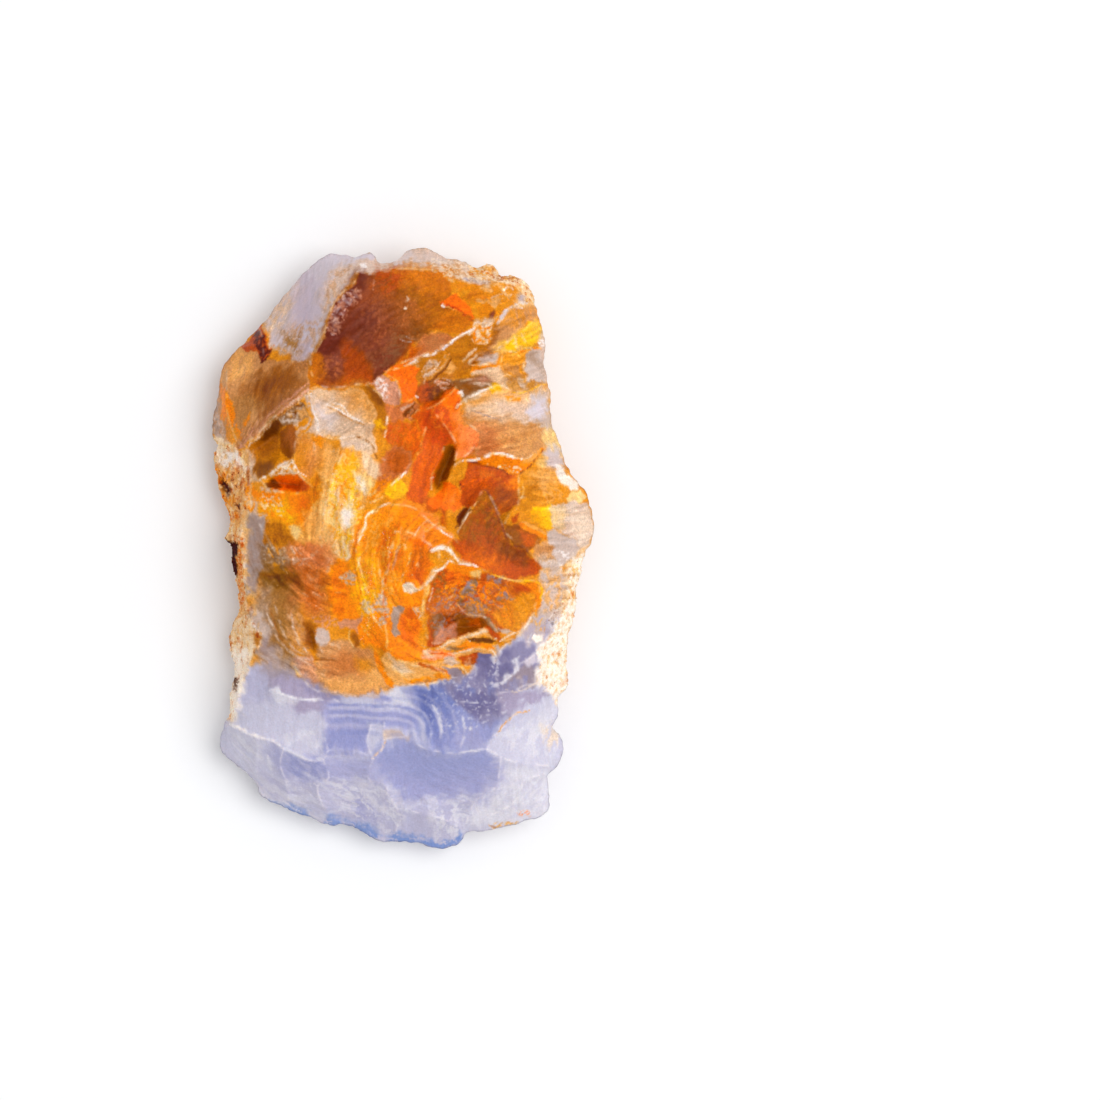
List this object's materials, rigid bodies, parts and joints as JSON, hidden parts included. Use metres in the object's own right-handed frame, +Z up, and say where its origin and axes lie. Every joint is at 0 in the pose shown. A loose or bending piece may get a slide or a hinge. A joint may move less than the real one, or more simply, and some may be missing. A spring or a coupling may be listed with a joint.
{
  "type": "blue lace agate",
  "caption": "Rough knapped chalcedony lying flat: amber and brown conchoidal scars over a banded blue-lavender end, with sandy crust along both sides.",
  "frame": {"origin": "centre of the bounding box's underside, on the surface that the stone lies on", "axes": "+Y along the stone from its blue end to its brown end, +X across it, +Z up out of the broken upper face"},
  "size_m": [0.0348, 0.0546, 0.012],
  "materials": {
    "stone": "waxy broken chalcedony, satin to glossy, with a matt sandy crust at the sides"
  },
  "bodies": {
    "root": {"stone": "stone"}
  },
  "joints": []
}
